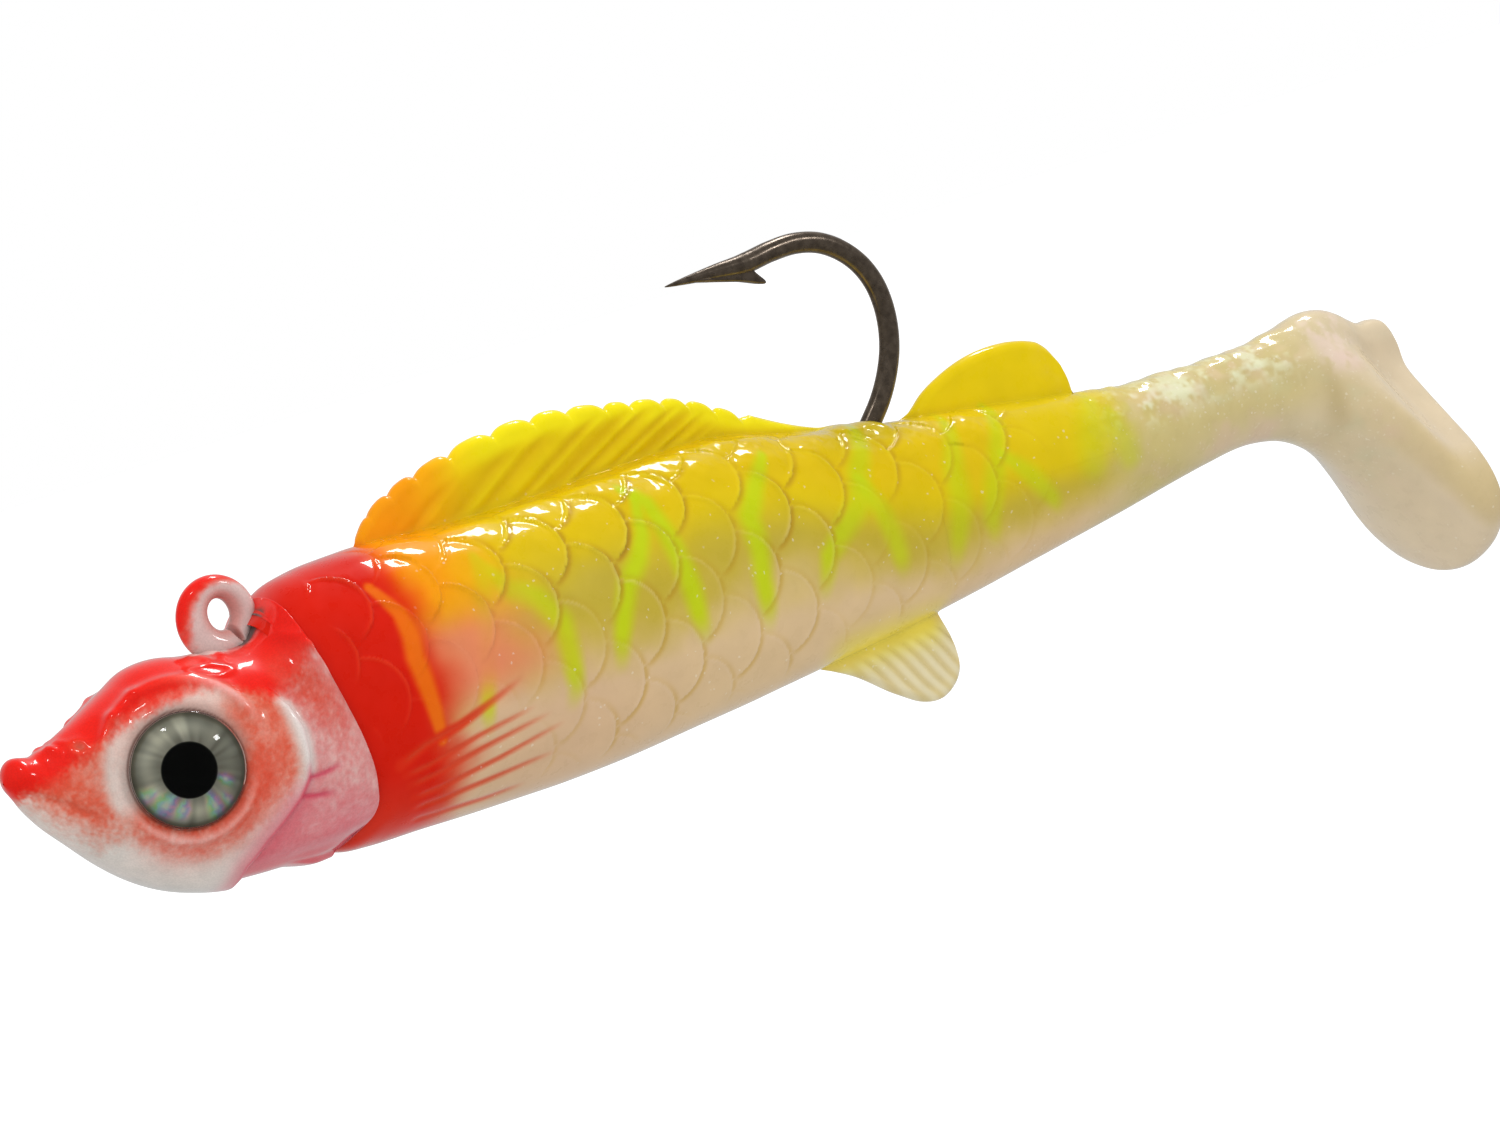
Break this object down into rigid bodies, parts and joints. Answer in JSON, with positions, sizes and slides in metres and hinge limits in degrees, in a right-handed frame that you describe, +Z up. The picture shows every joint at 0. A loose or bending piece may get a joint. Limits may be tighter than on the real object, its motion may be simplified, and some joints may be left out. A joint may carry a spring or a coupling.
{
  "type": "soft swimbait on a jig head",
  "caption": "Soft plastic minnow with a paddle tail on a painted lead jig head, with stick-on eyes and a single barbed hook.",
  "frame": {"origin": "centre of the line tie's ring, where the line or snap pulls", "axes": "-X towards the nose, +X towards the tail, +Z up towards the back, -Y towards the fish's left side"},
  "size_m": [0.0798, 0.0098, 0.0258],
  "materials": {
    "head_paint": "gloss",
    "hook_nickel": "polished",
    "eye_resin": "gloss",
    "eye_foil": "polished",
    "eye_adhesive": "matte",
    "body_plastic": "gloss",
    "tail_pearl": "gloss"
  },
  "bodies": {
    "trunk": {"jig_head": "head_paint", "hook": "hook_nickel", "eye_lens_left": "eye_resin", "eye_lens_right": "eye_resin", "eye_foil_left": "eye_foil", "eye_foil_right": "eye_foil", "eye_pad_left": "eye_adhesive", "eye_pad_right": "eye_adhesive", "body_front": "body_plastic"},
    "rear": {"body_rear": "body_plastic"},
    "stem": {"tail_stem": "tail_pearl"},
    "paddle": {"tail_paddle": "tail_pearl"}
  },
  "joints": [
    {"name": "body_flex", "type": "hinge", "parent": "trunk", "child": "rear", "pos_m": [0.04035, 0, -0.0055], "axis": [0, 0, 1], "range_deg": [-12, 12], "stiffness_Nm_per_rad": 0.0014},
    {"name": "stem_flex", "type": "hinge", "parent": "rear", "child": "stem", "pos_m": [0.04905, 0, -0.0055], "axis": [0, 0, 1], "range_deg": [-20, 20], "stiffness_Nm_per_rad": 0.0005},
    {"name": "paddle_flex", "type": "hinge", "parent": "stem", "child": "paddle", "pos_m": [0.05845, 0, -0.0055], "axis": [0, 0, 1], "range_deg": [-30, 30], "stiffness_Nm_per_rad": 0.00025}
  ]
}
